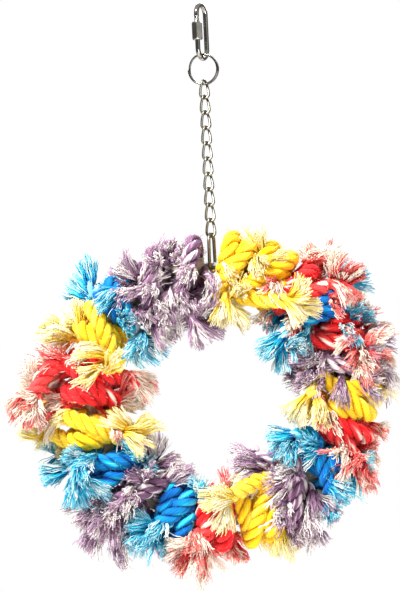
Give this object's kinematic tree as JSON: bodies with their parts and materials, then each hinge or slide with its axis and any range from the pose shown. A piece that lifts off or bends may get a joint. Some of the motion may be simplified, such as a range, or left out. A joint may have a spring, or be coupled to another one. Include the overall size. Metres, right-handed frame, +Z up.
{
  "type": "hanging bird toy",
  "caption": "Hanging chew ring for pet birds: dyed cotton ropes tied round a hoop, hung on a twisted chain with a split ring and a screw-gate quick link.",
  "frame": {"origin": "inside top of the quick link, where the toy hangs on a cage bar or hook", "axes": "+Z up along the chain, -Y towards the front that the picture shows, +X to the right of that front"},
  "size_m": [0.2423, 0.07, 0.3681],
  "materials": {
    "nickel": "polished",
    "steel_wire": "satin",
    "undyed_cotton": "matte",
    "yellow_cotton": "matte",
    "red_cotton": "matte",
    "blue_cotton": "matte",
    "purple_cotton": "matte"
  },
  "bodies": {
    "quick_link": {"quick_link_body": "nickel"},
    "nut": {"quick_link_nut": "nickel"},
    "split_ring": {"split_ring": "nickel"},
    "link_01": {"chain_link_01": "nickel"},
    "link_02": {"chain_link_02": "nickel"},
    "link_03": {"chain_link_03": "nickel"},
    "link_04": {"chain_link_04": "nickel"},
    "link_05": {"chain_link_05": "nickel"},
    "link_06": {"chain_link_06": "nickel"},
    "link_07": {"chain_link_07": "nickel"},
    "link_08": {"chain_link_08": "nickel"},
    "link_09": {"chain_link_09": "nickel"},
    "link_10": {"chain_link_10": "nickel"},
    "hanger": {"hanger_link": "nickel"},
    "hoop": {"hoop_wire": "steel_wire", "hoop_sleeve": "undyed_cotton", "rope_yellow_1": "yellow_cotton", "rope_yellow_2": "yellow_cotton", "rope_red_1": "red_cotton", "rope_blue_1": "blue_cotton", "rope_red_2": "red_cotton", "rope_purple_1": "purple_cotton", "rope_yellow_3": "yellow_cotton", "rope_red_3": "red_cotton", "rope_blue_2": "blue_cotton", "rope_purple_2": "purple_cotton", "rope_yellow_4": "yellow_cotton", "rope_red_4": "red_cotton", "rope_blue_3": "blue_cotton", "rope_purple_3": "purple_cotton", "rope_blue_4": "blue_cotton", "rope_yellow_5": "yellow_cotton", "rope_red_5": "red_cotton", "rope_yellow_6": "yellow_cotton", "rope_blue_5": "blue_cotton", "rope_purple_4": "purple_cotton", "rope_purple_5": "purple_cotton"}
  },
  "joints": [
    {"name": "nut_travel", "type": "slide", "parent": "quick_link", "child": "nut", "axis": [0, 0, 1], "range_m": [0, 0.0052]},
    {"name": "ring_swing", "type": "hinge", "parent": "quick_link", "child": "split_ring", "pos_m": [0, 0, -0.0332], "axis": [0.454, 0.891, 0], "range_deg": [-45, 45]},
    {"name": "link_01_swing", "type": "hinge", "parent": "split_ring", "child": "link_01", "pos_m": [0, 0, -0.05], "axis": [0.9511, -0.309, 0], "range_deg": [-35, 35]},
    {"name": "link_02_swing", "type": "hinge", "parent": "link_01", "child": "link_02", "pos_m": [0, 0, -0.05725], "axis": [-0.309, -0.9511, 0], "range_deg": [-35, 35]},
    {"name": "link_03_swing", "type": "hinge", "parent": "link_02", "child": "link_03", "pos_m": [0, 0, -0.06925], "axis": [-0.9511, 0.309, 0], "range_deg": [-35, 35]},
    {"name": "link_04_swing", "type": "hinge", "parent": "link_03", "child": "link_04", "pos_m": [0, 0, -0.07725], "axis": [0.309, 0.9511, 0], "range_deg": [-35, 35]},
    {"name": "link_05_swing", "type": "hinge", "parent": "link_04", "child": "link_05", "pos_m": [0, 0, -0.08925], "axis": [0.9511, -0.309, 0], "range_deg": [-35, 35]},
    {"name": "link_06_swing", "type": "hinge", "parent": "link_05", "child": "link_06", "pos_m": [0, 0, -0.09725], "axis": [-0.309, -0.9511, 0], "range_deg": [-35, 35]},
    {"name": "link_07_swing", "type": "hinge", "parent": "link_06", "child": "link_07", "pos_m": [0, 0, -0.10925], "axis": [-0.9511, 0.309, 0], "range_deg": [-35, 35]},
    {"name": "link_08_swing", "type": "hinge", "parent": "link_07", "child": "link_08", "pos_m": [0, 0, -0.11725], "axis": [0.309, 0.9511, 0], "range_deg": [-35, 35]},
    {"name": "link_09_swing", "type": "hinge", "parent": "link_08", "child": "link_09", "pos_m": [0, 0, -0.12925], "axis": [0.9511, -0.309, 0], "range_deg": [-35, 35]},
    {"name": "link_10_swing", "type": "hinge", "parent": "link_09", "child": "link_10", "pos_m": [0, 0, -0.13725], "axis": [-0.309, -0.9511, 0], "range_deg": [-35, 35]},
    {"name": "hanger_swing", "type": "hinge", "parent": "link_10", "child": "hanger", "pos_m": [0, 0, -0.14925], "axis": [-0.9511, 0.309, 0], "range_deg": [-35, 35]},
    {"name": "hoop_swing", "type": "hinge", "parent": "hanger", "child": "hoop", "pos_m": [0, 0, -0.168], "axis": [1, 0, 0], "range_deg": [-35, 35]}
  ]
}
